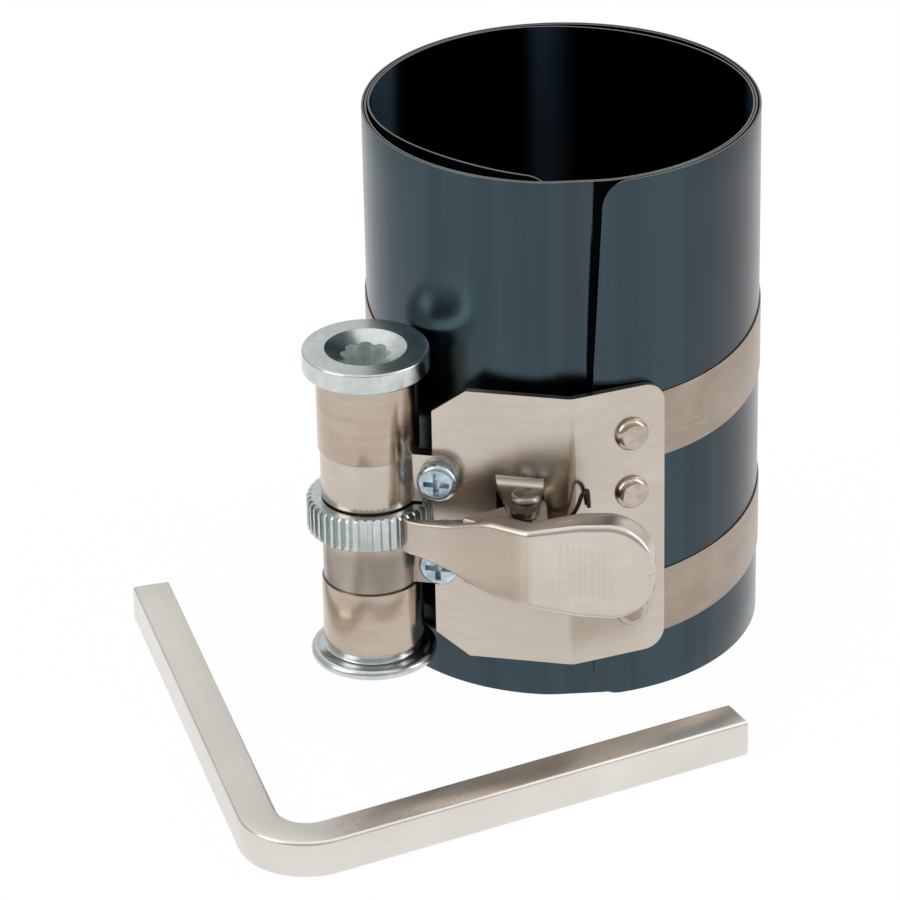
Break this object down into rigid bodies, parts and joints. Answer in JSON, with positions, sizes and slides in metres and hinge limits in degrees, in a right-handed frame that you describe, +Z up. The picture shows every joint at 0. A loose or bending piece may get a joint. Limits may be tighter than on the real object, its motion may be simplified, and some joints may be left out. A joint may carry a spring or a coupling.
{
  "type": "piston ring compressor",
  "caption": "Piston ring compressor: a coiled steel sleeve squeezed by two bands wound on a ratchet spindle, with a pawl lever and a loose square key.",
  "frame": {"origin": "sleeve axis at the sleeve's lower edge, on the surface it stands on", "axes": "+Z up along the sleeve and the spindle, -Y towards the pawl lever"},
  "size_m": [0.0921, 0.1019, 0.08],
  "materials": {
    "blued_steel": "blued spring steel, glossy",
    "nickel_band": "satin warm nickel",
    "nickel_plate": "nickel plate, semi-gloss",
    "nickel_rivet": "nickel, semi-gloss",
    "nickel_lever": "nickel plate, semi-gloss",
    "zinc": "bright zinc",
    "zinc_spindle": "bright zinc, turned",
    "zinc_wheel": "bright zinc, milled teeth",
    "steel_pin": "bare steel",
    "spring_steel": "spring wire",
    "nickel_key": "satin nickel bar"
  },
  "bodies": {
    "frame": {"sleeve": "blued_steel", "upper_band": "nickel_band", "lower_band": "nickel_band", "base_plate": "nickel_plate", "upper_band_rivet": "nickel_rivet", "upper_sleeve_rivet": "nickel_rivet", "lower_sleeve_rivet": "nickel_rivet", "lower_band_rivet": "nickel_rivet", "upper_ear_screw": "zinc", "lower_ear_screw": "zinc", "upper_ear_nut": "zinc", "lower_ear_nut": "zinc", "pawl_pin": "steel_pin", "pawl_spring": "spring_steel"},
    "spindle": {"spindle": "zinc_spindle", "upper_band_winding": "nickel_band", "lower_band_winding": "nickel_band", "ratchet_wheel": "zinc_wheel", "end_flange": "zinc_spindle"},
    "pawl": {"pawl_lever": "nickel_lever"},
    "key": {"key": "nickel_key"}
  },
  "joints": [
    {"name": "spindle_turn", "type": "hinge", "parent": "frame", "child": "spindle", "pos_m": [-0.02771, -0.02442, 0.0292], "axis": [0, 0, 1], "range_deg": [-180, 1080]},
    {"name": "pawl_swing", "type": "hinge", "parent": "frame", "child": "pawl", "pos_m": [-0.00611, -0.03395, 0.0292], "axis": [0, 0, 1], "range_deg": [-2, 20], "stiffness_Nm_per_rad": 0.05, "deforming": ["pawl_spring"]},
    {"name": "key_lift", "type": "slide", "parent": "frame", "child": "key", "axis": [0, 0, 1], "range_m": [0, 0.06]}
  ]
}
